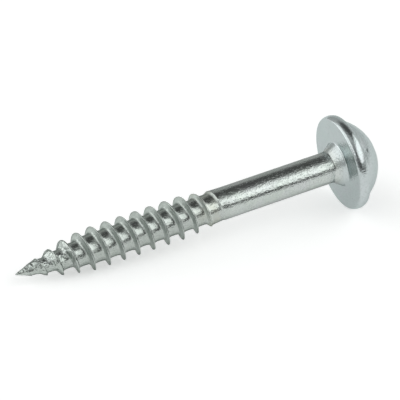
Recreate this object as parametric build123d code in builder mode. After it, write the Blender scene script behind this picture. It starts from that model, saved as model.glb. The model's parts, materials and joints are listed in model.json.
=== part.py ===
from build123d import *
from math import asin, atan, ceil, cos, degrees, pi, radians, sin, sqrt, tan
import os

os.makedirs("parts", exist_ok=True)

# A pocket hole screw: one headed, rolled and plated piece of wire.
# It is drawn upright, its point at height 0 and its head at the top, and laid on the ground
# at the end. Every size is in mm.

# Length and thickness of the wire
screw_length = 31.75  # from the point to the bearing face under the head
shank_diameter = 2.93
plain_length = 12.25  # bare shank between the bearing face and the end of the thread

# Thread: right-hand, single start, with its steeper flank towards the head
thread_diameter = 3.84
root_diameter = 2.68  # at the first full turn
last_root_diameter = 2.52  # at the last turn under the shank
thread_pitch = 1.43
crest_width = 0.1
head_side_flank = 12.0  # degrees from square to the axis
point_side_flank = 17.0
crest_fade_length = 3.3  # length over which the crest comes down to the shank
groove_end_gap = 0.53  # the groove runs out this far below the end of the crest
groove_end_turn = 0.55  # share of a turn over which its floor comes up to the shank

# Point: a slightly blunt cone, then a tapered core that carries the thread
tip_diameter = 0.12
taper_length = 7.07  # from the point to the first full crest
cone_length = 1.5
cone_diameter = 1.24
swell_length = 4.6  # the tapered crest line bends here
swell_diameter = 3.1
groove_start_height = 1.25
start_root_diameter = 1.04
root_bend_height = 3.0  # the tapered root line bends here
root_bend_diameter = 1.46
groove_start_turn = 0.35  # share of a turn over which its floor goes down to the root line
start_crest_width = 0.4  # it starts narrow, with a long slope on its point side
start_flank = 58.0  # degrees from square to the axis
full_groove_height = 5.2  # it has its full section from here on

# Head: a wide flat washer with a rounded rim, a dome on top and a flared neck below
flange_diameter = 8.9
flange_thickness = 1.05
rim_depth = 0.18  # how far the curved rim bulges beyond the bearing face
ledge_width = 0.33  # flat ring between the rim and the foot of the dome
head_height = 3.55  # from the bearing face to the top of the full dome
dome_fillet = 0.2
neck_diameter = 4.2
neck_length = 0.93

# Square drive recess
drive_width = 2.85
drive_depth = 2.5
drive_draft = 1.5  # degrees each side
drive_bottom_slope = 28.0  # degrees below level
drive_tip_width = 0.1  # the small flat where the bottom pyramid ends
drive_mouth_diameter = 3.2
drive_mouth_angle = 45.0

# Sizes that follow from those above
shank_radius = shank_diameter / 2
crest_radius = thread_diameter / 2
flange_radius = flange_diameter / 2
face_radius = flange_radius - rim_depth
thread_end = screw_length - plain_length
fade_start = thread_end - crest_fade_length
groove_end_height = thread_end - groove_end_gap
ledge_height = screw_length + flange_thickness
dome_top_height = screw_length + head_height
dome_height = head_height - flange_thickness
dome_base_radius = face_radius - ledge_width
dome_radius = (dome_base_radius**2 + dome_height**2) / (2 * dome_height)
dome_center_height = dome_top_height - dome_radius
recess_floor = dome_top_height - drive_depth
pyramid_depth = (drive_width - drive_tip_width) / 2 * tan(radians(drive_bottom_slope))
dome_middle_angle = asin(dome_base_radius / dome_radius) / 2


# Crest line of the thread: height above the point, radius
crest_line = [
    (0, tip_diameter / 2),
    (cone_length, cone_diameter / 2),
    (swell_length, swell_diameter / 2),
    (taper_length, crest_radius),
    (fade_start, crest_radius),
    (thread_end, shank_radius),
    (screw_length - neck_length, shank_radius),
]

# Root line: the floor of the groove, following the taper of the core
root_line = [
    (groove_start_height, start_root_diameter / 2),
    (root_bend_height, root_bend_diameter / 2),
    (taper_length, root_diameter / 2),
    (thread_end, last_root_diameter / 2),
]


def radius_at(line, height):
    for (low, low_radius), (high, high_radius) in zip(line, line[1:]):
        if height <= high:
            share = (max(height, low) - low) / (high - low)
            return low_radius + share * (high_radius - low_radius)
    return line[-1][1]


# The groove is cut by a tool that climbs one pitch a turn. Its section is drawn in planes
# through the axis, twelve to a turn, and each turn is a cut of its own. At the point the groove
# starts shallow and narrow and opens to its full section; under the head its floor comes up to
# the shank and the last ridge fades away.
# The thread is turned so that its lowest full crest faces the ground once the screw lies down.
sections_per_turn = 12
tool_overlap = 0.02  # the flanks run on this far past the crest before the tool goes straight out
tool_reach = 0.5
ground_crest_height = taper_length + crest_width / 2
tool_end_height = thread_end + (thread_pitch - crest_width) / 2
section_count = ceil((tool_end_height - groove_start_height) / thread_pitch * sections_per_turn)


def start_share(height):
    share = (full_groove_height - height) / (full_groove_height - groove_start_height)
    return min(max(share, 0), 1)


def groove_floor(height):
    turns_in = (height - groove_start_height) / thread_pitch
    turns_left = (groove_end_height - height) / thread_pitch
    crest = radius_at(crest_line, height) + tool_overlap
    floor = radius_at(root_line, height)
    floor += max(1 - turns_in / groove_start_turn, 0) * (crest - floor)
    floor += min(max(1 - turns_left / groove_end_turn, 0), 1) * (shank_radius + tool_overlap - floor)
    return min(floor, crest - tool_overlap / 2)


def groove_edge(height, floor):
    return max(radius_at(crest_line, height) + tool_overlap, floor + tool_overlap / 2)


groove_pieces = []
for first in range(0, section_count, sections_per_turn):
    last = min(first + sections_per_turn, section_count)
    with BuildPart() as groove_piece:
        for index in range(first, last + 1):
            height = groove_start_height + index / sections_per_turn * thread_pitch
            angle = 2 * pi * ((height - ground_crest_height) / thread_pitch - 0.5)
            floor = groove_floor(height)
            crest = crest_width + start_share(height) * (start_crest_width - crest_width)
            half_width = (thread_pitch - crest) / 2
            upper_flank = point_side_flank + start_share(height) * (start_flank - point_side_flank)
            lower_edge = groove_edge(height - half_width, floor)
            upper_edge = groove_edge(height + half_width, floor)
            lower_run = (lower_edge - floor) * tan(radians(head_side_flank))
            upper_run = (upper_edge - floor) * tan(radians(upper_flank))
            section_plane = Plane(
                origin=(0, 0, height),
                x_dir=(cos(angle), sin(angle), 0),
                z_dir=(sin(angle), -cos(angle), 0),
            )
            with BuildSketch(section_plane):
                with BuildLine():
                    Polyline(
                        (floor, lower_run - half_width),
                        (lower_edge, -half_width),
                        (lower_edge + tool_reach, -half_width),
                        (upper_edge + tool_reach, half_width),
                        (upper_edge, half_width),
                        (floor, half_width - upper_run),
                        close=True,
                    )
                make_face()
        loft()
    groove_pieces.append(groove_piece.part)


# Square recess for the driver: drafted walls above a shallow pyramid
with BuildPart() as recess:
    with BuildSketch(Plane.XY.offset(recess_floor - pyramid_depth)):
        Rectangle(drive_width, drive_width)
    extrude(amount=pyramid_depth + drive_depth)
    recess_bottom = recess.faces().sort_by(Axis.Z)[0]
    chamfer(
        recess_bottom.edges(),
        length=(drive_width - drive_tip_width) / 2,
        length2=pyramid_depth,
        reference=recess_bottom,
    )
    recess_walls = recess.faces().filter_by(lambda face: abs(face.normal_at().Z) < 0.001)
    draft(recess_walls, Plane.XY.offset(recess_floor), -drive_draft)


# The blank is one revolved outline: cone point, crest line, shank, neck, flange and dome
with BuildPart() as upright_screw:
    with BuildSketch(Plane.XZ):
        with BuildLine():
            Polyline(
                (0, 0),
                *[(radius, height) for height, radius in crest_line],
                (neck_diameter / 2, screw_length),
                (face_radius, screw_length),
            )
            ThreePointArc(
                (face_radius, screw_length),
                (flange_radius, screw_length + flange_thickness / 2),
                (face_radius, ledge_height),
            )
            Line((face_radius, ledge_height), (dome_base_radius, ledge_height))
            ThreePointArc(
                (dome_base_radius, ledge_height),
                (
                    dome_radius * sin(dome_middle_angle),
                    dome_center_height + dome_radius * cos(dome_middle_angle),
                ),
                (0, dome_top_height),
            )
            Line((0, dome_top_height), (0, 0))
        make_face()
    revolve(axis=Axis.Z)

    # A small fillet where the dome meets the flange
    ledge_rings = (
        upright_screw.edges()
        .filter_by(GeomType.CIRCLE)
        .filter_by(lambda edge: abs(edge.center().Z - ledge_height) < 0.001)
    )
    fillet(ledge_rings.sort_by(SortBy.RADIUS)[0], dome_fillet)

    # The recess, and the conical mouth that leads the driver into it
    add(recess.part, mode=Mode.SUBTRACT)
    mouth_radius = drive_mouth_diameter / 2
    mouth_height = dome_center_height + sqrt(dome_radius**2 - mouth_radius**2)
    with BuildSketch(Plane.XZ):
        with BuildLine():
            Polyline(
                (0, mouth_height - mouth_radius / tan(radians(drive_mouth_angle))),
                (mouth_radius, mouth_height),
                (mouth_radius, dome_top_height),
                (0, dome_top_height),
                close=True,
            )
        make_face()
    revolve(axis=Axis.Z, mode=Mode.SUBTRACT)

    # The helical groove leaves the thread standing between its turns
    for piece in groove_pieces:
        add(piece, mode=Mode.SUBTRACT)


# The screw lies on the rim of its flange and on its lowest full crest
lean = degrees(
    atan(
        (flange_radius - crest_radius)
        / (screw_length - taper_length + flange_thickness / 2)
    )
)
leaning_screw = Rot(0, 90 - lean, 0) * upright_screw.part
extent = leaning_screw.bounding_box()

with BuildPart() as screw:
    with Locations((-extent.center().X, -extent.center().Y, -extent.min.Z)):
        add(leaning_screw)
screw.part.label = "screw"
export_step(screw.part, "parts/screw.step")
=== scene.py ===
# %% [markdown]
# # A zinc-plated pocket hole screw
# This lesson dresses the solid model of a screw that lies on a pale floor. On the bench the
# screw begins as a piece of wire: one machine upsets the head, another rolls the thread, and a
# bath of zinc gives it its bluish silver skin. The lesson follows that order. It turns a smooth
# blank, rolls the thread onto it with Geometry Nodes, plates it with a procedural material, and
# then lights it the way small shiny parts are lit in a studio.

import json
import math

import bmesh
import bpy
import numpy as np
from mathutils import Matrix, Vector


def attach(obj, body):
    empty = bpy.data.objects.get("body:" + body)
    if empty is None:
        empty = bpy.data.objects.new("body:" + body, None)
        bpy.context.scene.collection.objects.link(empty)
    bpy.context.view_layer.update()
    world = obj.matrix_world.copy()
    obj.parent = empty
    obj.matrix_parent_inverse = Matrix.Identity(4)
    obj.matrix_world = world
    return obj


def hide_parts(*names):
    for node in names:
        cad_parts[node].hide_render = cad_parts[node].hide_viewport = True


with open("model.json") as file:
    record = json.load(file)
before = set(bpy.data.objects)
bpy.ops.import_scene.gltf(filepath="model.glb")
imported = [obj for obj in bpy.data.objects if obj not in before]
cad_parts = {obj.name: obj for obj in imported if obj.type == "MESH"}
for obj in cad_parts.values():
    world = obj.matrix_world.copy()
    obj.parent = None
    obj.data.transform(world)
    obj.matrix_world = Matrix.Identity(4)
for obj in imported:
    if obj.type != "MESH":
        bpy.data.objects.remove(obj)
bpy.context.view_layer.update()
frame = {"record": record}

# %% [markdown]
# ## Sizes
# All sizes are in millimetres and describe the screw standing upright, its point at height 0.
# They are the solid's driving sizes, with radii in place of diameters. The lines of the crests
# and of the thread's root are short lists of height and radius.

# %% Driving sizes of the head and the shank
MM = 0.001
screw_length = 31.75
plain_length = 12.25
shank_radius = 1.465
neck_radius = 2.1
neck_length = 0.93
flange_radius = 4.45
flange_thickness = 1.05
rim_depth = 0.18
ledge_width = 0.33
head_height = 3.55
drive_half_width = 1.425
drive_depth = 2.5
drive_draft = math.radians(1.5)
drive_bottom_slope = math.radians(28)
drive_mouth_radius = 1.6

# %% Driving sizes of the thread
thread_pitch = 1.43
crest_width = 0.1
head_side_flank = math.radians(12)
point_side_flank = math.radians(17)
taper_length = 7.07
tip_radius = 0.06
cone_length = 1.5
cone_radius = 0.62
crest_radius = 1.92
crest_fade_length = 3.3
thread_end = screw_length - plain_length
groove_start_height = 1.25
groove_start_turn = 0.35
start_crest_width = 0.4
start_flank = math.radians(58)
full_groove_height = 5.2
groove_end_height = thread_end - 0.53
groove_end_turn = 0.55
end_flank = math.radians(60)
crest_line = [
    (0, tip_radius),
    (cone_length, cone_radius),
    (4.6, 1.55),
    (taper_length, crest_radius),
    (thread_end - crest_fade_length, crest_radius),
    (thread_end, shank_radius),
]
root_line = [(groove_start_height, 0.52), (3.0, 0.73), (taper_length, 1.34), (thread_end, 1.26)]
print("the thread ends at height", thread_end, "with a pitch of", thread_pitch)

# %% How the upright screw lies down
# The record's mount on the bearing face says where that face is and which way it looks.
mounts = {mount["name"]: mount for mount in frame["record"]["mounts"]}
toward_head = -Vector(mounts["bearing_face"]["axis"]).normalized()
face_centre = Vector(mounts["bearing_face"]["pos_m"])
face_centre.y = 0
lying_angle = math.atan2(toward_head.x, toward_head.z)
point_place = face_centre - toward_head * screw_length * MM
lie_down = (
    Matrix.Translation(point_place)
    @ Matrix.Rotation(lying_angle, 4, "Y")
    @ Matrix.Scale(MM, 4)
)
print("the screw leans", round(90 - math.degrees(lying_angle), 2), "degrees from level")

# %% [markdown]
# ## The blank
# The head, the shank and the point are round, so they could be spun from an outline. The driver's
# socket is square, though, and it sits in the middle of the round dome. So the blank is made of
# rings, each with a radius for every column around the axis. In the socket the rings are
# rounded squares and on the dome they are circles, and the rows of faces between them never
# break. Rows stand close together wherever an edge should stay crisp after subdivision.

# %% Columns around the axis
# The angle 0 faces the ground once the screw lies down, so the lowest full crest lies there. The
# thread takes one turn to open, so it starts half a pitch below the groove.
columns = 80
lowest_crest_height = taper_length + crest_width / 2
turns_to_crest = (lowest_crest_height - groove_start_height) / thread_pitch
start_column = round(turns_to_crest * columns + columns / 2)
start_height = lowest_crest_height - thread_pitch * start_column / columns
angles = 2 * np.pi * (np.arange(columns) - start_column) / columns
turns = 14
shank_start = start_height + turns * thread_pitch
print("the thread is rolled from height", round(start_height, 3), "to", round(shank_start, 3))

# %% Heights and radii of the head
dome_top = screw_length + head_height
ledge_height = screw_length + flange_thickness
face_radius = flange_radius - rim_depth
dome_base_radius = face_radius - ledge_width
dome_rise = head_height - flange_thickness
dome_radius = (dome_base_radius**2 + dome_rise**2) / (2 * dome_rise)
dome_centre = dome_top - dome_radius
socket_floor = dome_top - drive_depth
pyramid_depth = drive_half_width * math.tan(drive_bottom_slope)
print("the dome's own radius is", round(dome_radius, 3))


def dome_height(radius):
    return dome_centre + np.sqrt(dome_radius**2 - radius**2)


# %% The square socket
# A high power makes a rounded square of a circle: the higher it is, the sharper the corners. The
# rows are given by their share of the pyramid at the bottom and by their rise above it.
corner_power = 18
corner_sum = np.abs(np.cos(angles)) ** corner_power + np.abs(np.sin(angles)) ** corner_power
square_share = corner_sum ** (-1 / corner_power)
pyramid_shares = (0.12, 0.4, 0.7, 0.9, 1.0)
wall_rises = (0.12, 0.5, 1.1, 1.6)
edge_gap = 0.05


def socket_rings():
    rings = []
    for share in pyramid_shares:
        height = socket_floor - pyramid_depth * (1 - share)
        rings.append((drive_half_width * share * square_share, height))
    for rise in wall_rises:
        half_width = drive_half_width + rise * math.tan(drive_draft)
        rings.append((half_width * square_share, socket_floor + rise))
    wall = (drive_half_width + drive_depth * math.tan(drive_draft)) * square_share
    mouth = np.maximum(drive_mouth_radius, wall + edge_gap)
    lip = dome_height(mouth) - (mouth - wall)
    rings.append((wall, lip - 2 * edge_gap))
    rings.append((wall, lip))
    rings.append((mouth, dome_height(mouth)))
    rings.append((mouth + edge_gap, dome_height(mouth + edge_gap)))
    return rings


# %% The dome, the ledge, the rim and the face under the head
# The rows of the dome are given by their share of the way from the socket to the fillet. Those
# of the fillet are given by their distance from the dome's foot and their rise above the ledge,
# and those of the rim by their share of half its thickness.
dome_shares = (0.08, 0.2, 0.35, 0.5, 0.65, 0.78, 0.88, 0.95, 1.0)
fillet_reach = 0.11
fillet_rows = [(-0.035, 0.11), (0.03, 0.03), (0.13, 0.0)]
ledge_gap = 0.06
rim_shares = (0.94, 0.86, 0.65, 0.35, 0.0, -0.35, -0.65, -0.8, -0.9)
face_radii = (face_radius - 0.05, face_radius - 0.14, 3.7, 3.1, 2.5, neck_radius + 0.12)


def head_rings():
    rings = []
    even = np.ones(columns)
    mouth = socket_rings()[-1][0]
    fillet_top = dome_base_radius - fillet_reach
    for share in dome_shares:
        radius = mouth + (fillet_top - mouth) * share
        rings.append((radius, dome_height(radius)))
    for outward, rise in fillet_rows:
        rings.append(((dome_base_radius + outward) * even, ledge_height + rise))
    rings.append(((face_radius - ledge_gap) * even, ledge_height))
    rim_curve = ((flange_thickness / 2) ** 2 + rim_depth**2) / (2 * rim_depth)
    for share in rim_shares:
        offset = share * flange_thickness / 2
        radius = flange_radius - rim_curve + math.sqrt(rim_curve**2 - offset**2)
        rings.append((radius * even, screw_length + flange_thickness / 2 + offset))
    for radius in face_radii:
        rings.append((radius * even, screw_length))
    return rings


# %% The flared neck and the bare shank
# Two rows stand close below the edge of the neck, and the others follow at even distances.
neck_shares = (0.03, 0.12, 0.5, 0.85, 0.96)
close_gaps = (0.05, 0.2)
first_even_gap = 1.0
even_row_count = 9


def shank_rings():
    rings = []
    even = np.ones(columns)
    neck_bottom = screw_length - neck_length
    for share in neck_shares:
        radius = neck_radius + (shank_radius - neck_radius) * share
        rings.append((radius * even, screw_length - neck_length * share))
    for gap in close_gaps:
        rings.append((shank_radius * even, neck_bottom - gap))
    for height in np.linspace(neck_bottom - first_even_gap, shank_start, even_row_count):
        rings.append((shank_radius * even, height))
    return rings


# %% The point
# The thread begins a little way up the cone, and the very end is slightly blunt.
point_heights = (start_height, 0.42, 0.31, 0.22, 0.15, 0.1)
blunt_share = 0.9
blunt_height = 0.05
tip_height = 0.03


def point_rings():
    rings = []
    even = np.ones(columns)
    for height in point_heights:
        radius = tip_radius + (cone_radius - tip_radius) * height / cone_length
        rings.append((radius * even, height))
    rings.append((blunt_share * tip_radius * even, blunt_height))
    return rings


# %% Joining rings into a skin
def skin_of(mesh, rings, end_height, closed_first):
    """Adds rows of faces from ring to ring, and a cap of triangles at the closed end."""
    grid = []
    for radii, height in rings:
        heights = np.broadcast_to(height, radii.shape)
        ring = [
            mesh.verts.new((radius * math.cos(angle), radius * math.sin(angle), z))
            for radius, angle, z in zip(radii, angles, heights)
        ]
        grid.append(ring)
    pole = mesh.verts.new((0, 0, end_height))
    for i in range(columns):
        after = (i + 1) % columns
        if closed_first:
            mesh.faces.new((pole, grid[0][i], grid[0][after]))
        else:
            mesh.faces.new((pole, grid[-1][after], grid[-1][i]))
        for above, below in zip(grid, grid[1:]):
            mesh.faces.new((above[i], below[i], below[after], above[after]))


# %% Making the smooth blank
# The pyramid at the bottom of the socket is slightly blunt too.
socket_bluntness = 0.06


def smooth_blank():
    mesh = bmesh.new()
    upper = socket_rings() + head_rings() + shank_rings()
    socket_tip = socket_floor - pyramid_depth + socket_bluntness
    skin_of(mesh, upper, socket_tip, closed_first=True)
    skin_of(mesh, point_rings(), tip_height, closed_first=False)
    data = bpy.data.meshes.new("blank")
    mesh.to_mesh(data)
    mesh.free()
    blank = bpy.data.objects.new("blank", data)
    bpy.context.scene.collection.objects.link(blank)
    return blank


blank = smooth_blank()
print("the blank has", len(blank.data.vertices), "points")

# %% [markdown]
# ## Rolling the thread
# A thread follows one rule: a groove that climbs one pitch a turn. A rule is what Geometry Nodes
# are good at, so the thread is a flat grid that a node tree winds around the axis. One direction
# of the grid runs along the helix and the other across one groove, from crest to crest. Its
# first and last turns narrow to nothing, so its two borders are plain rings, and they weld to
# the rings of the blank. That leaves one closed skin, as on the real screw.

# %% Small helpers for node trees
def feed(tree, socket, value):
    """Links a socket, or sets a plain value."""
    if isinstance(value, bpy.types.NodeSocket):
        tree.links.new(value, socket)
    else:
        socket.default_value = value


def calc(tree, operation, *values):
    """A Math node with these inputs. Its result is returned as a socket."""
    node = tree.nodes.new("ShaderNodeMath")
    node.operation = operation
    for socket, value in zip(node.inputs, values):
        feed(tree, socket, value)
    return node.outputs[0]


def blend_values(tree, share, first, second):
    """first where share is 0, second where it is 1."""
    step = calc(tree, "SUBTRACT", second, first)
    return calc(tree, "MULTIPLY_ADD", step, share, first)


def remap(tree, value, from_low, from_high, to_low=0.0, to_high=1.0, kind="LINEAR"):
    """A clamped Map Range node."""
    node = tree.nodes.new("ShaderNodeMapRange")
    node.interpolation_type = kind
    for socket, given in zip(node.inputs, (value, from_low, from_high, to_low, to_high)):
        feed(tree, socket, given)
    return node.outputs[0]


# %% Helpers for node groups
def new_group(name, kind, inputs, outputs):
    """An empty node group with named sockets, each given as a name, a type and a start value."""
    tree = bpy.data.node_groups.new(name, kind)
    for title, socket_type, value in inputs:
        socket = tree.interface.new_socket(title, in_out="INPUT", socket_type=socket_type)
        if value is not None:
            socket.default_value = value
    for title, socket_type in outputs:
        tree.interface.new_socket(title, in_out="OUTPUT", socket_type=socket_type)
    given = tree.nodes.new("NodeGroupInput").outputs
    result = tree.nodes.new("NodeGroupOutput").inputs
    return tree, given, result


def use_group(tree, group, kind="GeometryNodeGroup", **values):
    """Places a node group and feeds it by name, with _ for a space."""
    node = tree.nodes.new(kind)
    node.node_tree = group
    for name, value in values.items():
        feed(tree, node.inputs[name.replace("_", " ")], value)
    return node


# %% A line of straight stretches as a node group
# Each stretch adds its own rise of radius while the height passes along it.
def line_group(name, line):
    inputs = [("Height", "NodeSocketFloat", 0.0)]
    tree, given, result = new_group(
        name, "GeometryNodeTree", inputs, [("Radius", "NodeSocketFloat")]
    )
    radius = line[0][1]
    for (low, low_radius), (high, high_radius) in zip(line, line[1:]):
        rise = remap(tree, given["Height"], low, high, 0.0, high_radius - low_radius)
        radius = calc(tree, "ADD", rise, radius)
    feed(tree, result["Radius"], radius)
    return tree


def radius_on(tree, group, height):
    return use_group(tree, group, Height=height).outputs["Radius"]


crest_line_group = line_group("Crest line", crest_line)
root_line_group = line_group("Root line", root_line)
print("the crest line has", len(crest_line) - 1, "stretches, the root line", len(root_line) - 1)

# %% The floor of the groove
# It goes down from the surface at the point and comes back up to the shank at the other end.
def groove_floor_group():
    inputs = [
        ("Height", "NodeSocketFloat", 0.0),
        ("Crest Radius", "NodeSocketFloat", 1.0),
        ("Pitch", "NodeSocketFloat", thread_pitch),
    ]
    tree, given, result = new_group(
        "Groove floor", "GeometryNodeTree", inputs, [("Radius", "NodeSocketFloat")]
    )
    height, crest = given["Height"], given["Crest Radius"]
    root = radius_on(tree, root_line_group, height)
    start_length = calc(tree, "MULTIPLY", given["Pitch"], groove_start_turn)
    past_start = calc(tree, "SUBTRACT", height, groove_start_height)
    cut_in = calc(tree, "DIVIDE", past_start, start_length)
    started = blend_values(tree, remap(tree, cut_in, 0, 1), crest, root)
    end_length = calc(tree, "MULTIPLY", given["Pitch"], groove_end_turn)
    before_end = calc(tree, "SUBTRACT", groove_end_height, height)
    left = calc(tree, "DIVIDE", before_end, end_length)
    ended = blend_values(tree, remap(tree, left, 1, 0), started, shank_radius)
    feed(tree, result["Radius"], calc(tree, "MINIMUM", ended, crest))
    return tree


# %% The rows across one groove
# For each row: how deep it lies between crest and floor, and how far it is across the groove.
row_depths = [0, 0, 0.1, 0.5, 0.82, 0.98, 1, 0.99, 0.85, 0.5, 0.1, 0, 0]
row_sides = [0, 0, 0, 0, 0, 0.14, 0.5, 0.91, 1, 1, 1, 1, 1]
last_row = len(row_depths) - 1


def choose_by_row(tree, row, choices):
    """An Index Switch that gives each row its own number."""
    node = tree.nodes.new("GeometryNodeIndexSwitch")
    node.data_type = "FLOAT"
    while len(node.index_switch_items) < len(choices):
        node.index_switch_items.new()
    feed(tree, node.inputs["Index"], row)
    for socket, value in zip(node.inputs[1:], choices):
        socket.default_value = value
    return node.outputs[0]


# %% The flat grid
# It has columns along the helix and rows across the groove, and each point knows both its own.
def counted_grid(tree, given):
    grid = tree.nodes.new("GeometryNodeMeshGrid")
    steps = calc(tree, "MULTIPLY", calc(tree, "ADD", given["Turns"], 1), given["Columns"])
    feed(tree, grid.inputs["Size X"], steps)
    feed(tree, grid.inputs["Size Y"], float(last_row))
    feed(tree, grid.inputs["Vertices X"], calc(tree, "ADD", steps, 1))
    feed(tree, grid.inputs["Vertices Y"], last_row + 1)
    flat_place = tree.nodes.new("ShaderNodeSeparateXYZ")
    feed(tree, flat_place.inputs[0], tree.nodes.new("GeometryNodeInputPosition").outputs[0])
    column = calc(tree, "MULTIPLY_ADD", steps, 0.5, flat_place.outputs["X"])
    row = calc(tree, "ADD", flat_place.outputs["Y"], last_row / 2)
    return grid.outputs["Mesh"], calc(tree, "ROUND", column), calc(tree, "ROUND", row)


# %% How the two borders of the strip climb
# The lower border starts to climb one turn after the upper one.
def climbing_borders(tree, given, column):
    around = given["Columns"]
    full = calc(tree, "MULTIPLY", given["Turns"], around)
    climb = calc(tree, "DIVIDE", given["Pitch"], around)
    upper_steps = calc(tree, "MINIMUM", column, full)
    lower_steps = calc(tree, "MAXIMUM", calc(tree, "SUBTRACT", column, around), 0.0)
    upper = calc(tree, "MULTIPLY_ADD", upper_steps, climb, given["Start Height"])
    lower = calc(tree, "MULTIPLY_ADD", lower_steps, climb, given["Start Height"])
    return lower, upper


# %% The slope and the width of the groove
# At the point it is narrow, with a long slope. Its last flank leans back between two heights,
# which are counted in turns below the groove's end.
lean_turns = (1.3, 0.5)


def groove_shape(tree, given, centre):
    starting = remap(tree, centre, groove_start_height, full_groove_height, 1.0, 0.0)
    crest = blend_values(tree, starting, given["Crest Width"], given["Start Crest Width"])
    flank = blend_values(tree, starting, given["Point Side Flank"], given["Start Flank"])
    lean_start, lean_end = (groove_end_height - count * thread_pitch for count in lean_turns)
    ending = remap(tree, centre, lean_start, lean_end)
    return crest, blend_values(tree, ending, flank, given["End Flank"])


# %% The section of the groove
# Each row lies at its own depth on one of the two flanks, or between their feet. Until the groove
# is cut in by deep_cut, its floor still follows the shoulders.
deep_cut = 0.25


def groove_section(tree, given, lower, upper, depth, side):
    pitch = given["Pitch"]
    centre = calc(tree, "MULTIPLY", calc(tree, "ADD", upper, lower), 0.5)
    opened = calc(tree, "DIVIDE", calc(tree, "SUBTRACT", upper, lower), pitch)
    crest, high_flank = groove_shape(tree, given, centre)
    half_groove = calc(tree, "MULTIPLY", calc(tree, "SUBTRACT", pitch, crest), 0.5)
    half_groove = calc(tree, "MULTIPLY", half_groove, opened)
    crest_here = radius_on(tree, crest_line_group, centre)
    floor_node = use_group(
        tree, groove_floor_group(), Height=centre, Crest_Radius=crest_here, Pitch=pitch
    )
    floor = floor_node.outputs["Radius"]

    # The two shoulders, and a floor that follows each of them while the groove is shallow
    low_height = calc(tree, "SUBTRACT", centre, half_groove)
    high_height = calc(tree, "ADD", centre, half_groove)
    low_crest = radius_on(tree, crest_line_group, low_height)
    high_crest = radius_on(tree, crest_line_group, high_height)
    cut = calc(tree, "SUBTRACT", crest_here, floor)
    deep = remap(tree, cut, 0.0, deep_cut)
    low_floor = blend_values(tree, deep, calc(tree, "SUBTRACT", low_crest, cut), floor)
    high_floor = blend_values(tree, deep, calc(tree, "SUBTRACT", high_crest, cut), floor)

    # Along each flank by its slope, and then from one flank to the other
    low_slope = calc(tree, "TANGENT", given["Head Side Flank"])
    high_slope = calc(tree, "TANGENT", high_flank)
    low_run = calc(tree, "MULTIPLY", calc(tree, "SUBTRACT", low_crest, low_floor), low_slope)
    high_run = calc(tree, "MULTIPLY", calc(tree, "SUBTRACT", high_crest, high_floor), high_slope)
    low_place = calc(tree, "MULTIPLY_ADD", low_run, depth, low_height)
    high_place = calc(tree, "SUBTRACT", high_height, calc(tree, "MULTIPLY", high_run, depth))
    low_radius = blend_values(tree, depth, low_crest, low_floor)
    high_radius = blend_values(tree, depth, high_crest, high_floor)
    height = blend_values(tree, side, low_place, high_place)
    radius = blend_values(tree, side, low_radius, high_radius)
    return height, radius, deep


# %% The borders of the strip
# The first and last rows are the middle of the crests on either side.
def with_borders(tree, row, lower, upper, height, radius):
    on_lower = calc(tree, "LESS_THAN", row, 0.5)
    on_upper = calc(tree, "GREATER_THAN", row, last_row - 0.5)
    height = blend_values(tree, on_lower, height, lower)
    height = blend_values(tree, on_upper, height, upper)
    border_radius = radius_on(tree, crest_line_group, height)
    on_border = calc(tree, "ADD", on_lower, on_upper)
    return height, blend_values(tree, on_border, radius, border_radius)


# %% Winding the grid around the axis
def wound(tree, given, geometry, column, height, radius):
    steps = calc(tree, "SUBTRACT", column, given["Start Column"])
    angle = calc(tree, "DIVIDE", steps, given["Columns"])
    angle = calc(tree, "MULTIPLY", angle, 2 * math.pi)
    place = tree.nodes.new("ShaderNodeCombineXYZ")
    feed(tree, place.inputs["X"], calc(tree, "MULTIPLY", radius, calc(tree, "COSINE", angle)))
    feed(tree, place.inputs["Y"], calc(tree, "MULTIPLY", radius, calc(tree, "SINE", angle)))
    feed(tree, place.inputs["Z"], height)
    wind = tree.nodes.new("GeometryNodeSetPosition")
    feed(tree, wind.inputs["Geometry"], geometry)
    feed(tree, wind.inputs["Position"], place.outputs[0])
    return wind.outputs["Geometry"]


# %% Marks that the plating reads
# groove_depth is 1 on the floor of the groove. thread_flank is 1 on the flank that faces the
# point, -1 on the one that faces the head, and 0 everywhere else. depth * (1 - depth) is 0.25
# halfway down a flank, so it counts as full a little before that.
full_flank = 0.22


def store_value(tree, geometry, name, value):
    node = tree.nodes.new("GeometryNodeStoreNamedAttribute")
    node.data_type = "FLOAT"
    node.domain = "POINT"
    feed(tree, node.inputs["Geometry"], geometry)
    node.inputs["Name"].default_value = name
    feed(tree, node.inputs["Value"], value)
    return node.outputs["Geometry"]


def marked_grid(tree, geometry, depth, side, deep):
    halfway = calc(tree, "MULTIPLY", depth, calc(tree, "SUBTRACT", 1.0, depth))
    flank = calc(tree, "MULTIPLY", remap(tree, halfway, 0.0, full_flank), deep)
    flank = calc(tree, "MULTIPLY", flank, calc(tree, "MULTIPLY_ADD", side, 2.0, -1.0))
    geometry = store_value(tree, geometry, "groove_depth", calc(tree, "MULTIPLY", depth, deep))
    return store_value(tree, geometry, "thread_flank", flank)


# %% Welding the thread to the blank
weld_distance = 0.0008


def welded(tree, *pieces):
    joined = tree.nodes.new("GeometryNodeJoinGeometry")
    for piece in pieces:
        feed(tree, joined.inputs[0], piece)
    weld = tree.nodes.new("GeometryNodeMergeByDistance")
    feed(tree, weld.inputs["Geometry"], joined.outputs[0])
    weld.inputs["Distance"].default_value = weld_distance
    return weld.outputs["Geometry"]


# %% An uneven skin
# Rolled metal is never quite even: it is pressed in a little here and there, most at the point.
# Each kind of dent is given by its scale, its detail, and the noise values that become 0 and 1.
broad_dents = (1.1, 3, 0.35, 0.7)
point_lumps = (3.2, 1.5, 0.3, 0.7)
lump_strength = 1.6
lump_fade = (1.5, 5.0)
tip_share = 0.3
tip_fade = (0.1, 0.7)


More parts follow.
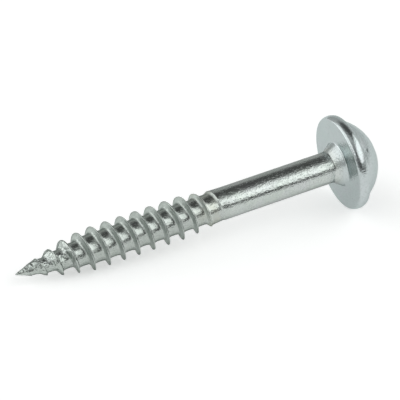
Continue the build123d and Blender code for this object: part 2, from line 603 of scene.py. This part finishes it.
def dents(tree, scale, detail, low, high):
    noise = tree.nodes.new("ShaderNodeTexNoise")
    noise.inputs["Scale"].default_value = scale
    noise.inputs["Detail"].default_value = detail
    return remap(tree, noise.outputs[0], low, high)


def pressed_in(tree, geometry, amount):
    spot = tree.nodes.new("ShaderNodeSeparateXYZ")
    feed(tree, spot.inputs[0], tree.nodes.new("GeometryNodeInputPosition").outputs[0])
    height = spot.outputs["Z"]
    threaded = remap(tree, height, thread_end, thread_end + 1, 1.0, 0.0)
    tapered = remap(tree, height, *lump_fade, lump_strength, 0.0, "SMOOTHSTEP")
    tapered = calc(tree, "MULTIPLY", tapered, remap(tree, height, *tip_fade, tip_share, 1.0))
    press = calc(tree, "MULTIPLY", dents(tree, *broad_dents), threaded)
    press = calc(tree, "MULTIPLY_ADD", dents(tree, *point_lumps), tapered, press)
    press = calc(tree, "MULTIPLY", press, amount)
    inward = tree.nodes.new("ShaderNodeVectorMath")
    inward.operation = "SCALE"
    feed(tree, inward.inputs[0], tree.nodes.new("GeometryNodeInputNormal").outputs[0])
    feed(tree, inward.inputs["Scale"], calc(tree, "MULTIPLY", press, -1.0))
    uneven = tree.nodes.new("GeometryNodeSetPosition")
    feed(tree, uneven.inputs["Geometry"], geometry)
    feed(tree, uneven.inputs["Offset"], inward.outputs[0])
    return uneven.outputs["Geometry"]


# %% Smoothing, and the end of the tree
def finished(tree, geometry, levels, material):
    smooth = tree.nodes.new("GeometryNodeSubdivisionSurface")
    feed(tree, smooth.inputs["Mesh"], geometry)
    feed(tree, smooth.inputs["Level"], levels)
    shade = tree.nodes.new("GeometryNodeSetShadeSmooth")
    feed(tree, shade.inputs["Geometry"], smooth.outputs["Mesh"])
    real = tree.nodes.new("GeometryNodeRealizeInstances")
    feed(tree, real.inputs["Geometry"], shade.outputs["Geometry"])
    finish = tree.nodes.new("GeometryNodeSetMaterial")
    feed(tree, finish.inputs["Geometry"], real.outputs["Geometry"])
    feed(tree, finish.inputs["Material"], material)
    return finish.outputs["Geometry"]


# %% The whole tree
unevenness = 0.03
smooth_levels = 1
thread_inputs = [
    ("Blank", "NodeSocketGeometry", None),
    ("Pitch", "NodeSocketFloat", thread_pitch),
    ("Turns", "NodeSocketInt", turns),
    ("Columns", "NodeSocketInt", columns),
    ("Start Column", "NodeSocketInt", start_column),
    ("Start Height", "NodeSocketFloat", start_height),
    ("Crest Width", "NodeSocketFloat", crest_width),
    ("Head Side Flank", "NodeSocketFloat", head_side_flank),
    ("Point Side Flank", "NodeSocketFloat", point_side_flank),
    ("Start Crest Width", "NodeSocketFloat", start_crest_width),
    ("Start Flank", "NodeSocketFloat", start_flank),
    ("End Flank", "NodeSocketFloat", end_flank),
    ("Unevenness", "NodeSocketFloat", unevenness),
    ("Levels", "NodeSocketInt", smooth_levels),
    ("Finish", "NodeSocketMaterial", None),
]


def thread_tree():
    tree, given, result = new_group(
        "Rolled thread", "GeometryNodeTree", thread_inputs, [("Screw", "NodeSocketGeometry")]
    )
    grid, column, row = counted_grid(tree, given)
    depth = choose_by_row(tree, row, row_depths)
    side = choose_by_row(tree, row, row_sides)
    lower, upper = climbing_borders(tree, given, column)
    height, radius, deep = groove_section(tree, given, lower, upper, depth, side)
    height, radius = with_borders(tree, row, lower, upper, height, radius)
    marked = marked_grid(tree, grid, depth, side, deep)
    thread = wound(tree, given, marked, column, height, radius)
    skin = welded(tree, given["Blank"], thread)
    skin = pressed_in(tree, skin, given["Unevenness"])
    feed(tree, result["Screw"], finished(tree, skin, given["Levels"], given["Finish"]))
    print("the thread's tree has", len(tree.nodes), "nodes")
    return tree


# %% [markdown]
# ## The plating
# Bright zinc is a thin, slightly cloudy metal skin over drawn and pressed steel. Its colour drifts
# between bluish and greenish grey, it is duller along the thread, and the wire's drawing marks
# run along the shank. One shader group holds a grain that can be stretched along the screw. It is
# used at many scales: as clouds and blotches of colour, as pits and specks, as drawing marks and
# as the lumps at the point. The colour, the roughness and the relief are then built up in layers,
# each a mask with a strength.

# %% Coordinates that follow the screw
def upright_place(tree):
    """Object coordinates turned back upright and counted in millimetres from the point."""
    coordinates = tree.nodes.new("ShaderNodeTexCoord")
    mapping = tree.nodes.new("ShaderNodeMapping")
    mapping.vector_type = "TEXTURE"
    mapping.inputs["Location"].default_value = point_place
    mapping.inputs["Rotation"].default_value = (0, lying_angle, 0)
    mapping.inputs["Scale"].default_value = (MM, MM, MM)
    feed(tree, mapping.inputs["Vector"], coordinates.outputs["Object"])
    return mapping.outputs[0]


# %% The shared grain
def grain_group():
    """Soft noise, stretched along the screw and squeezed into the contrast that is asked for."""
    inputs = [
        ("Place", "NodeSocketVector", None),
        ("Scale", "NodeSocketFloat", 1.0),
        ("Length", "NodeSocketFloat", 1.0),
        ("Detail", "NodeSocketFloat", 3.0),
        ("Low", "NodeSocketFloat", 0.3),
        ("High", "NodeSocketFloat", 0.7),
    ]
    tree, given, result = new_group(
        "Grain", "ShaderNodeTree", inputs, [("Value", "NodeSocketFloat")]
    )
    stretch = tree.nodes.new("ShaderNodeCombineXYZ")
    feed(tree, stretch.inputs["X"], given["Scale"])
    feed(tree, stretch.inputs["Y"], given["Scale"])
    feed(tree, stretch.inputs["Z"], calc(tree, "DIVIDE", given["Scale"], given["Length"]))
    scaled = tree.nodes.new("ShaderNodeVectorMath")
    scaled.operation = "MULTIPLY"
    feed(tree, scaled.inputs[0], given["Place"])
    feed(tree, scaled.inputs[1], stretch.outputs[0])
    noise = tree.nodes.new("ShaderNodeTexNoise")
    feed(tree, noise.inputs["Vector"], scaled.outputs[0])
    noise.inputs["Scale"].default_value = 1.0
    feed(tree, noise.inputs["Detail"], given["Detail"])
    feed(tree, result["Value"], remap(tree, noise.outputs[0], given["Low"], given["High"]))
    return tree


grain = grain_group()

# %% One grain for each effect
# Each is given by its scale, its stretch along the screw, its detail, and the two noise values
# that become 0 and 1.
grain_settings = {
    "clouds": (0.55, 1.6, 4.0, 0.35, 0.65),
    "tints": (0.8, 1.2, 3.0, 0.45, 0.7),
    "blotches": (2.2, 1.2, 4.0, 0.4, 0.75),
    "stains": (1.3, 1.0, 3.0, 0.35, 0.7),
    "polish": (5.0, 2.0, 4.0, 0.3, 0.7),
    "pits": (7.0, 1.3, 2.0, 0.5, 0.78),
    "specks": (5.5, 1.6, 1.0, 0.55, 0.68),
    "streaks": (6.5, 4.0, 3.0, 0.2, 0.8),
    "peel": (4.5, 1.5, 3.0, 0.2, 0.8),
    "fine": (10.0, 1.3, 3.0, 0.2, 0.8),
    "lumps": (2.8, 1.0, 1.5, 0.25, 0.75),
}


def grains_at(tree, place):
    grains = {}
    for name, (scale, length, detail, low, high) in grain_settings.items():
        node = use_group(
            tree,
            grain,
            "ShaderNodeGroup",
            Place=place,
            Scale=scale,
            Length=length,
            Detail=detail,
            Low=low,
            High=high,
        )
        node.label = name
        grains[name] = node.outputs["Value"]
    return grains


print("the grain is used", len(grain_settings), "times")

# %% Masks for the parts of the screw
# Each part fades in or out between two heights above the point.
point_fade = (3.0, 6.8)
thread_fade = (thread_end - 1.5, thread_end + 1.5)
head_fade = (screw_length - 0.9, screw_length - 0.1)


def attribute_value(tree, name):
    node = tree.nodes.new("ShaderNodeAttribute")
    node.attribute_name = name
    return node.outputs["Fac"]


def rest_of(tree, mask):
    return calc(tree, "SUBTRACT", 1.0, mask)


def part_masks(tree, height):
    pointed = remap(tree, height, *point_fade, 1.0, 0.0, "SMOOTHSTEP")
    flank = calc(tree, "MULTIPLY", attribute_value(tree, "thread_flank"), rest_of(tree, pointed))
    return {
        "pointed": pointed,
        "threaded": remap(tree, height, *thread_fade, 1.0, 0.0, "SMOOTHSTEP"),
        "headed": remap(tree, height, *head_fade, 0.0, 1.0, "SMOOTHSTEP"),
        "groove": attribute_value(tree, "groove_depth"),
        "flank": calc(tree, "ABSOLUTE", flank),
        "back flank": calc(tree, "MAXIMUM", calc(tree, "MULTIPLY", flank, -1.0), 0.0),
    }


# %% Marks of the work
# The thread is dulled, less so on its flanks and at the point, and its last ridges are stained.
dulling = 0.62
flank_dulling = 0.25
point_share = 0.65
stain_start = (16.6, 18.0)
stain_end = (18.9, 19.5)


def work_masks(tree, height, parts, grains):
    bare = rest_of(tree, parts["headed"])
    smooth = calc(tree, "MULTIPLY", rest_of(tree, parts["threaded"]), bare)
    dulled = remap(tree, parts["flank"], 0.0, 1.0, dulling, flank_dulling)
    dulled = calc(tree, "MULTIPLY", parts["threaded"], dulled)
    stained = remap(tree, height, *stain_start, 0.0, 1.0, "SMOOTHSTEP")
    stained_off = remap(tree, height, *stain_end, 1.0, 0.0, "SMOOTHSTEP")
    stained = calc(tree, "MULTIPLY", stained, stained_off)
    spared = remap(tree, parts["pointed"], 0.0, 1.0, 1.0, point_share)
    return {
        "dulled": calc(tree, "MULTIPLY", dulled, spared),
        "stained": calc(tree, "MULTIPLY", stained, grains["stains"]),
        "specks": calc(tree, "MULTIPLY", grains["specks"], bare),
        "drawn": calc(tree, "MULTIPLY", grains["streaks"], smooth),
        "hammered": calc(tree, "MULTIPLY", grains["lumps"], parts["pointed"]),
    }


# %% Fine turned rings on the head, and a small dent in the side of the dome, painted dark
nick_place = (-2.3, -2.65, 33.5)
nick_fade = (0.08, 0.3)
ring_scale = 7.0


def turned_rings(tree, axes, headed):
    across = calc(tree, "MULTIPLY", axes["X"], axes["X"])
    across = calc(tree, "MULTIPLY_ADD", axes["Y"], axes["Y"], across)
    noise = tree.nodes.new("ShaderNodeTexNoise")
    noise.noise_dimensions = "1D"
    noise.inputs["Scale"].default_value = ring_scale
    feed(tree, noise.inputs["W"], calc(tree, "SQRT", across))
    return calc(tree, "MULTIPLY", noise.outputs[0], headed)


def nick_mask(tree, place):
    distance = tree.nodes.new("ShaderNodeVectorMath")
    distance.operation = "DISTANCE"
    feed(tree, distance.inputs[0], place)
    distance.inputs[1].default_value = nick_place
    return remap(tree, distance.outputs["Value"], *nick_fade, 1.0, 0.0, "SMOOTHSTEP")


# %% The layers of the plating
# Colours are linear. Each layer is laid over those before it, with its mask and its strength.
zinc_shades = (0.51, 0.555, 0.52, 1), (0.55, 0.58, 0.56, 1)
colour_layers = [
    ("headed", 0.6, (0.505, 0.56, 0.58, 1)),
    ("tints", 0.4, (0.545, 0.545, 0.575, 1)),
    ("blotches", 0.22, (0.4, 0.46, 0.45, 1)),
    ("flank", 0.7, (0.72, 0.77, 0.74, 1)),
    ("dulled", 1.0, (0.355, 0.39, 0.36, 1)),
    ("pits", 0.4, (0.25, 0.28, 0.27, 1)),
    ("back flank", 1.0, (0.95, 0.97, 0.96, 1)),
    ("stained", 0.35, (0.53, 0.52, 0.42, 1)),
    # The nick's layer paints the small dent on the dome dark.
    ("nick", 0.8, (0.12, 0.14, 0.14, 1)),
]
polish_range = (0.13, 0.22)
roughness_layers = [("groove", 0.02), ("pointed", 0.03), ("specks", 0.15), ("flank", 0.38)]
relief_depth = 0.045
relief_layers = [
    ("drawn", 0.18),
    ("pits", -0.15),
    ("peel", 0.18),
    ("specks", -0.1),
    ("fine", 0.1),
    ("hammered", 2.0),
    ("turned", 0.12),
    ("nick", -0.8),
]

# %% How much a metal edge darkens, with painted shade on the thread's edges
# Seen edge on, the rolled thread looks darker than the bare shank, and the shank than the head.
shank_edge = (0.5, 0.5, 0.5, 1)
head_edge = (0.69, 0.735, 0.725, 1)
# The thread's edge tint is partly the metal's dull edge and partly painted shade: it darkens the
# thread's edges as the shadowed floor under the screw would in their reflection.
thread_edge_and_painted_shade = (0.24, 0.26, 0.25, 1)


def mix_colours(tree, share, first, second):
    node = tree.nodes.new("ShaderNodeMix")
    node.data_type = "RGBA"
    feed(tree, node.inputs["Factor"], share)
    feed(tree, node.inputs[6], first)
    feed(tree, node.inputs[7], second)
    return node.outputs[2]


def added_layers(tree, value, masks, layers):
    for name, amount in layers:
        value = calc(tree, "MULTIPLY_ADD", masks[name], amount, value)
    return value


# %% The zinc material
def all_masks(tree, place):
    axes = tree.nodes.new("ShaderNodeSeparateXYZ")
    feed(tree, axes.inputs[0], place)
    height = axes.outputs["Z"]
    parts = part_masks(tree, height)
    grains = grains_at(tree, place)
    masks = {**parts, **grains, **work_masks(tree, height, parts, grains)}
    masks["turned"] = turned_rings(tree, axes.outputs, parts["headed"])
    masks["nick"] = nick_mask(tree, place)
    return masks


def zinc_plating():
    material = bpy.data.materials.new("zinc_plated_steel")
    material.use_nodes = True
    tree = material.node_tree
    shader = tree.nodes["Principled BSDF"]
    masks = all_masks(tree, upright_place(tree))

    colour = mix_colours(tree, masks["clouds"], *zinc_shades)
    for name, strength, shade in colour_layers:
        colour = mix_colours(tree, calc(tree, "MULTIPLY", masks[name], strength), colour, shade)
    feed(tree, shader.inputs["Base Color"], colour)
    shader.inputs["Metallic"].default_value = 1.0
    # The edge tint goes to Specular Tint; on the thread it is partly painted shade.
    edge = mix_colours(tree, masks["headed"], shank_edge, head_edge)
    edge = mix_colours(tree, masks["threaded"], edge, thread_edge_and_painted_shade)
    feed(tree, shader.inputs["Specular Tint"], edge)

    polish = remap(tree, masks["polish"], 0.0, 1.0, *polish_range)
    feed(tree, shader.inputs["Roughness"], added_layers(tree, polish, masks, roughness_layers))
    bump = tree.nodes.new("ShaderNodeBump")
    bump.inputs["Strength"].default_value = 1.0
    bump.inputs["Distance"].default_value = relief_depth * MM
    feed(tree, bump.inputs["Height"], added_layers(tree, 0.0, masks, relief_layers))
    feed(tree, shader.inputs["Normal"], bump.outputs[0])
    return material


zinc = zinc_plating()
print("the plating has", len(zinc.node_tree.nodes), "nodes")

# %% [markdown]
# ## From node tree to plain mesh
# The modifier's inputs are set by the identifiers of their sockets. The evaluated object is then
# turned into a plain mesh, laid down where the solid lies, and it stands for the solid.

# %% Making the screw
def roll_thread(blank, finish):
    modifier = blank.modifiers.new("Rolled thread", "NODES")
    modifier.node_group = thread_tree()
    values = {"Finish": finish, "Unevenness": unevenness, "Levels": smooth_levels}
    for item in modifier.node_group.interface.items_tree:
        if item.item_type == "SOCKET" and item.in_out == "INPUT" and item.name in values:
            modifier[item.identifier] = values[item.name]
    evaluated = blank.evaluated_get(bpy.context.evaluated_depsgraph_get())
    data = bpy.data.meshes.new_from_object(evaluated)
    bpy.data.objects.remove(blank)
    data.transform(lie_down)
    data.name = "plated_screw"
    screw = bpy.data.objects.new("plated_screw", data)
    bpy.context.scene.collection.objects.link(screw)
    return screw


screw = roll_thread(blank, zinc)

# %% Turning the faces outwards and counting what is open
skin = bmesh.new()
skin.from_mesh(screw.data)
bmesh.ops.recalc_face_normals(skin, faces=skin.faces)
open_edges = sum(1 for edge in skin.edges if not edge.is_manifold)
triangles = sum(len(face.verts) - 2 for face in skin.faces)
skin.to_mesh(screw.data)
skin.free()
print("the screw has", triangles, "triangles and", open_edges, "open edges")

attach(screw, "root")
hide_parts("screw")

# %% [markdown]
# ## Floor, light and camera
# Polished metal shows its surroundings more than its colour, so the light is laid out like a small
# light tent: a pale floor, grey walls, a softbox in front and one behind, a low light at the back,
# and a dark roof between the softboxes. The roof gives the dark band along the top of the shank,
# the front softbox gives the white band below it, and the floor gives the pale grey underneath.
# The floor is real, and the rest of the tent is painted on the world, so it needs no lamps.

# %% The floor
# It glows a little for the camera and in the metal, so it looks white and still takes a shadow.
floor_size = 3.0
floor_grey = 0.75
floor_roughness = 0.9
floor_glow = 0.44


def pale_floor():
    bpy.ops.mesh.primitive_plane_add(size=floor_size, location=(0, 0, 0))
    floor = bpy.context.object
    floor.name = "floor"
    material = bpy.data.materials.new("pale_floor")
    material.use_nodes = True
    tree = material.node_tree
    shader = tree.nodes["Principled BSDF"]
    shader.inputs["Base Color"].default_value = (floor_grey, floor_grey, floor_grey, 1)
    shader.inputs["Roughness"].default_value = floor_roughness
    shader.inputs["Specular IOR Level"].default_value = 0.0
    shader.inputs["Emission Color"].default_value = (1, 1, 1, 1)
    path = tree.nodes.new("ShaderNodeLightPath")
    seen = calc(tree, "MAXIMUM", path.outputs["Is Camera Ray"], path.outputs["Is Glossy Ray"])
    seen = calc(tree, "MAXIMUM", seen, path.outputs["Is Transmission Ray"])
    feed(tree, shader.inputs["Emission Strength"], calc(tree, "MULTIPLY", seen, floor_glow))
    floor.data.materials.append(material)
    return floor


floor = pale_floor()
print("the floor is", floor_size, "metres wide")

# %% Turning a direction towards a patch of wall
# The result has the patch straight ahead, so what is left is how far aside and above it lies.
def turned_direction(tree, direction, azimuth, elevation):
    axes = tree.nodes.new("ShaderNodeSeparateXYZ")
    feed(tree, axes.inputs[0], direction)
    x, y, z = axes.outputs
    turn_cos, turn_sin = calc(tree, "COSINE", azimuth), calc(tree, "SINE", azimuth)
    tilt_cos, tilt_sin = calc(tree, "COSINE", elevation), calc(tree, "SINE", elevation)

    def along(first, first_share, second, second_share, operation):
        first_part = calc(tree, "MULTIPLY", first, first_share)
        return calc(tree, operation, first_part, calc(tree, "MULTIPLY", second, second_share))

    toward = along(x, turn_cos, y, turn_sin, "ADD")
    aside = along(y, turn_cos, x, turn_sin, "SUBTRACT")
    ahead = along(toward, tilt_cos, z, tilt_sin, "ADD")
    above = along(z, tilt_cos, toward, tilt_sin, "SUBTRACT")
    return aside, ahead, above


# %% A soft patch of wall as a node group
# The mask is 1 inside a rounded rectangle of directions and fades to 0 over its soft border.
rectangle_power = 4.0


def wall_patch_group():
    inputs = [
        ("Direction", "NodeSocketVector", None),
        ("Azimuth", "NodeSocketFloat", 0.0),
        ("Elevation", "NodeSocketFloat", 0.0),
        ("Half Width", "NodeSocketFloat", 0.5),
        ("Half Height", "NodeSocketFloat", 0.5),
        ("Softness", "NodeSocketFloat", 0.2),
    ]
    tree, given, result = new_group(
        "Wall patch", "ShaderNodeTree", inputs, [("Mask", "NodeSocketFloat")]
    )
    aside, ahead, above = turned_direction(
        tree, given["Direction"], given["Azimuth"], given["Elevation"]
    )
    reach = 0.0
    for offset, half_size in ((aside, given["Half Width"]), (above, given["Half Height"])):
        share = calc(tree, "DIVIDE", calc(tree, "ARCTAN2", offset, ahead), half_size)
        share = calc(tree, "POWER", calc(tree, "ABSOLUTE", share), rectangle_power)
        reach = calc(tree, "ADD", share, reach)
    reach = calc(tree, "POWER", reach, 1 / rectangle_power)
    inner = calc(tree, "SUBTRACT", 1.0, given["Softness"])
    outer = calc(tree, "ADD", 1.0, given["Softness"])
    feed(tree, result["Mask"], remap(tree, reach, inner, outer, 1.0, 0.0, "SMOOTHSTEP"))
    return tree


# %% The patches of the tent
# Each patch is given by its azimuth, elevation, half width and half height in degrees, the
# softness of its border and its level of light.
tent_level = 0.56
tent_colour = (0.98, 1.0, 0.99, 1)
tent_patches = [
    ("pale wall on the right", 32, 12, 34, 18, 0.4, 0.78),
    ("dark roof", 42, 64, 31, 24, 0.35, 0.1),
    ("camera side", -102, 22, 24, 38, 0.3, 0.17),
    ("gap under the front softbox", -72, 3, 30, 15, 0.3, 0.1),
    ("low light at the back", 150, 9, 26, 15, 0.35, 2.3),
    ("back softbox", 175, 50, 46, 16, 0.2, 1.5),
    ("front softbox", -37, 40.5, 38, 22, 0.14, 1.72),
]


# %% The world as the walls and roof of a light tent
# The camera itself sees plain white behind the floor.
def light_tent():
    world = bpy.data.worlds.new("light_tent")
    bpy.context.scene.world = world
    world.use_nodes = True
    tree = world.node_tree
    background = tree.nodes["Background"]
    direction = tree.nodes.new("ShaderNodeTexCoord").outputs["Generated"]
    group = wall_patch_group()
    level = tent_level
    for name, azimuth, elevation, half_width, half_height, softness, brightness in tent_patches:
        patch = use_group(
            tree,
            group,
            "ShaderNodeGroup",
            Direction=direction,
            Azimuth=math.radians(azimuth),
            Elevation=math.radians(elevation),
            Half_Width=math.radians(half_width),
            Half_Height=math.radians(half_height),
            Softness=softness,
        )
        patch.label = name
        level = blend_values(tree, patch.outputs["Mask"], level, brightness)
    path = tree.nodes.new("ShaderNodeLightPath")
    level = blend_values(tree, path.outputs["Is Camera Ray"], level, 1.0)
    feed(tree, background.inputs["Strength"], level)
    background.inputs["Color"].default_value = tent_colour


light_tent()
print("the tent has", len(tent_patches), "patches of wall")

# %% The camera
# It stands where the photographer stood: in front, a little towards the point, looking down.
image_width = 400
focal_pixels = 2581.5
sensor_width = 36
nearest_seen = 0.01
camera_azimuth = math.radians(-115.3)
camera_elevation = math.radians(31.57)
camera_distance = 229.0 * MM
camera_target = (0.29 * MM, 0, 4.17 * MM)


def camera_at(azimuth, elevation, distance, target):
    data = bpy.data.cameras.new("camera")
    data.sensor_width = sensor_width
    data.lens = focal_pixels / image_width * sensor_width
    data.clip_start = nearest_seen
    camera = bpy.data.objects.new("camera", data)
    back = Vector(
        (
            math.cos(elevation) * math.cos(azimuth),
            math.cos(elevation) * math.sin(azimuth),
            math.sin(elevation),
        )
    )
    camera.location = Vector(target) + back * distance
    camera.rotation_euler = back.to_track_quat("Z", "Y").to_euler()
    bpy.context.scene.collection.objects.link(camera)
    return camera


camera = camera_at(camera_azimuth, camera_elevation, camera_distance, camera_target)
bpy.context.scene.camera = camera
bpy.context.scene.view_settings.view_transform = "Standard"
print("the camera's lens is", round(camera.data.lens, 1), "mm")
